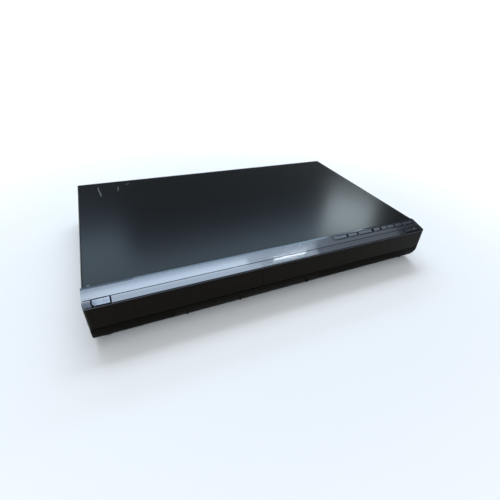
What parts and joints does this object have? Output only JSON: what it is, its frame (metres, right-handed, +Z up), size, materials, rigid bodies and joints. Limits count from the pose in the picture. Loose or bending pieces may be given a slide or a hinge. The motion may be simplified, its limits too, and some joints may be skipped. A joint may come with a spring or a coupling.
{
  "type": "disc and hard disk recorder",
  "caption": "Slim recorder with a motor-driven disc tray, drop-down jack flap, keys on a sloping band, and a disc drive, hard disk, boards, fan and rear sockets inside a bent steel case.",
  "frame": {"origin": "on the table plane, under the middle of the recorder's overall box, rear connectors included", "axes": "+X to the right seen from the front, +Y to the rear, +Z up; the tray slides out along -Y"},
  "size_m": [0.43, 0.286, 0.059],
  "materials": {
    "cover_paint": "satin black, fine texture",
    "zinc_steel": "zinc-plated sheet",
    "panel_plastic": "satin black",
    "gloss_black": "polished black",
    "tray_plastic": "satin black",
    "button_grey": "satin grey",
    "board_green": "solder mask",
    "chip_black": "moulded resin",
    "tube_glass": "dark glass",
    "socket_plastic": "matt black",
    "shell_metal": "tinned shell",
    "foot_plastic": "matt black",
    "pad_rubber": "matt",
    "screw_black": "black oxide",
    "drive_plastic": "matt black",
    "ground_steel": "ground rod",
    "pickup_dark": "die-cast and plastic, dark",
    "gear_white": "natural acetal",
    "motor_steel": "plated steel",
    "belt_rubber": "smooth",
    "disk_aluminium": "cast and blasted",
    "ferrite": "ferrite and tape",
    "can_sleeve": "shrink sleeve",
    "sink_aluminium": "extruded",
    "fan_black": "matt black",
    "cable_white": "flat cable"
  },
  "bodies": {
    "recorder": {"top_cover": "cover_paint", "chassis_base": "zinc_steel", "rear_panel": "zinc_steel", "front_panel": "panel_plastic", "nose_trim": "panel_plastic", "display_window": "gloss_black", "side_window": "gloss_black", "front_boards": "board_green", "key_switches": "chip_black", "display_board": "board_green", "display_tube": "tube_glass", "front_jacks": "socket_plastic", "usb_socket": "shell_metal", "card_slot": "shell_metal", "feet": "foot_plastic", "foot_pads": "pad_rubber", "case_screws": "screw_black", "drive_base": "drive_plastic", "drive_cover": "zinc_steel", "traverse_base": "drive_plastic", "guide_rods": "ground_steel", "loading_motor": "motor_steel", "loading_belt": "belt_rubber", "hard_disk": "disk_aluminium", "disk_bracket": "zinc_steel", "disk_mounts": "pad_rubber", "supply_board": "board_green", "transformer": "ferrite", "capacitors": "can_sleeve", "heat_sinks": "sink_aluminium", "mains_inlet": "socket_plastic", "main_board": "board_green", "board_chips": "chip_black", "fan_frame": "fan_black", "rear_phono_jacks": "socket_plastic", "hdmi_socket": "shell_metal", "optical_socket": "socket_plastic", "network_socket": "socket_plastic", "sockets_21": "socket_plastic", "tuner_can": "shell_metal", "front_ribbon": "cable_white"},
    "tray": {"disc_tray": "tray_plastic", "tray_front": "gloss_black"},
    "flap": {"jack_flap": "panel_plastic"},
    "power_button_body": {"power_button": "button_grey"},
    "open_button_body": {"open_button": "button_grey"},
    "fan_wheel": {"fan_rotor": "fan_black"},
    "spindle": {"turntable": "drive_plastic"},
    "clamp": {"disc_clamp": "drive_plastic"},
    "pickup": {"pickup_sled": "pickup_dark"},
    "gear": {"loading_gear": "gear_white"},
    "motor_wheel": {"motor_pulley": "gear_white"},
    "key_1_body": {"key_1": "button_grey"},
    "key_2_body": {"key_2": "button_grey"},
    "key_3_body": {"key_3": "button_grey"},
    "key_4_body": {"key_4": "button_grey"},
    "key_5_body": {"key_5": "button_grey"},
    "key_6_body": {"key_6": "button_grey"},
    "key_7_body": {"key_7": "button_grey"},
    "key_8_body": {"key_8": "button_grey"}
  },
  "joints": [
    {"name": "tray_slide", "type": "slide", "parent": "recorder", "child": "tray", "axis": [0, -1, 0], "range_m": [0, 0.134]},
    {"name": "loading_gear_spin", "type": "hinge", "parent": "recorder", "child": "gear", "pos_m": [-0.145, -0.1013, 0.0373], "axis": [0, 0, 1], "continuous": true},
    {"name": "motor_spin", "type": "hinge", "parent": "recorder", "child": "motor_wheel", "pos_m": [-0.113, -0.1013, 0.022], "axis": [0, 0, 1], "continuous": true},
    {"name": "disc_spin", "type": "hinge", "parent": "recorder", "child": "spindle", "pos_m": [-0.103, -0.0718, 0.029], "axis": [0, 0, 1], "continuous": true},
    {"name": "clamp_spin", "type": "hinge", "parent": "recorder", "child": "clamp", "pos_m": [-0.103, -0.0718, 0.049], "axis": [0, 0, 1], "continuous": true},
    {"name": "pickup_slide", "type": "slide", "parent": "recorder", "child": "pickup", "axis": [0, 1, 0], "range_m": [0, 0.034]},
    {"name": "flap_hinge", "type": "hinge", "parent": "recorder", "child": "flap", "pos_m": [-0.0443, -0.133, 0.0093], "axis": [1, 0, 0], "range_deg": [0, 80]},
    {"name": "fan_spin", "type": "hinge", "parent": "recorder", "child": "fan_wheel", "pos_m": [-0.04, 0.1267, 0.033], "axis": [0, 1, 0], "continuous": true},
    {"name": "power_press", "type": "slide", "parent": "recorder", "child": "power_button_body", "axis": [0, 0.2181, -0.9759], "range_m": [0, 0.0004], "stiffness_N_per_m": 800},
    {"name": "open_press", "type": "slide", "parent": "recorder", "child": "open_button_body", "axis": [0, 0.2181, -0.9759], "range_m": [0, 0.0004], "stiffness_N_per_m": 800},
    {"name": "key_1_press", "type": "slide", "parent": "recorder", "child": "key_1_body", "axis": [0, 0.2181, -0.9759], "range_m": [0, 0.0006], "stiffness_N_per_m": 800},
    {"name": "key_2_press", "type": "slide", "parent": "recorder", "child": "key_2_body", "axis": [0, 0.2181, -0.9759], "range_m": [0, 0.0006], "stiffness_N_per_m": 800},
    {"name": "key_3_press", "type": "slide", "parent": "recorder", "child": "key_3_body", "axis": [0, 0.2181, -0.9759], "range_m": [0, 0.0006], "stiffness_N_per_m": 800},
    {"name": "key_4_press", "type": "slide", "parent": "recorder", "child": "key_4_body", "axis": [0, 0.2181, -0.9759], "range_m": [0, 0.0006], "stiffness_N_per_m": 800},
    {"name": "key_5_press", "type": "slide", "parent": "recorder", "child": "key_5_body", "axis": [0, 0.2181, -0.9759], "range_m": [0, 0.0006], "stiffness_N_per_m": 800},
    {"name": "key_6_press", "type": "slide", "parent": "recorder", "child": "key_6_body", "axis": [0, 0.2181, -0.9759], "range_m": [0, 0.0006], "stiffness_N_per_m": 800},
    {"name": "key_7_press", "type": "slide", "parent": "recorder", "child": "key_7_body", "axis": [0, 0.2181, -0.9759], "range_m": [0, 0.0006], "stiffness_N_per_m": 800},
    {"name": "key_8_press", "type": "slide", "parent": "recorder", "child": "key_8_body", "axis": [0, 0.2181, -0.9759], "range_m": [0, 0.0006], "stiffness_N_per_m": 800}
  ],
  "couplings": [
    {"joint": "loading_gear_spin", "follows": "tray_slide", "rad_per_m": 111.11},
    {"joint": "motor_spin", "follows": "tray_slide", "rad_per_m": 311.11},
    {"joint": "clamp_spin", "follows": "disc_spin", "ratio": 1}
  ]
}
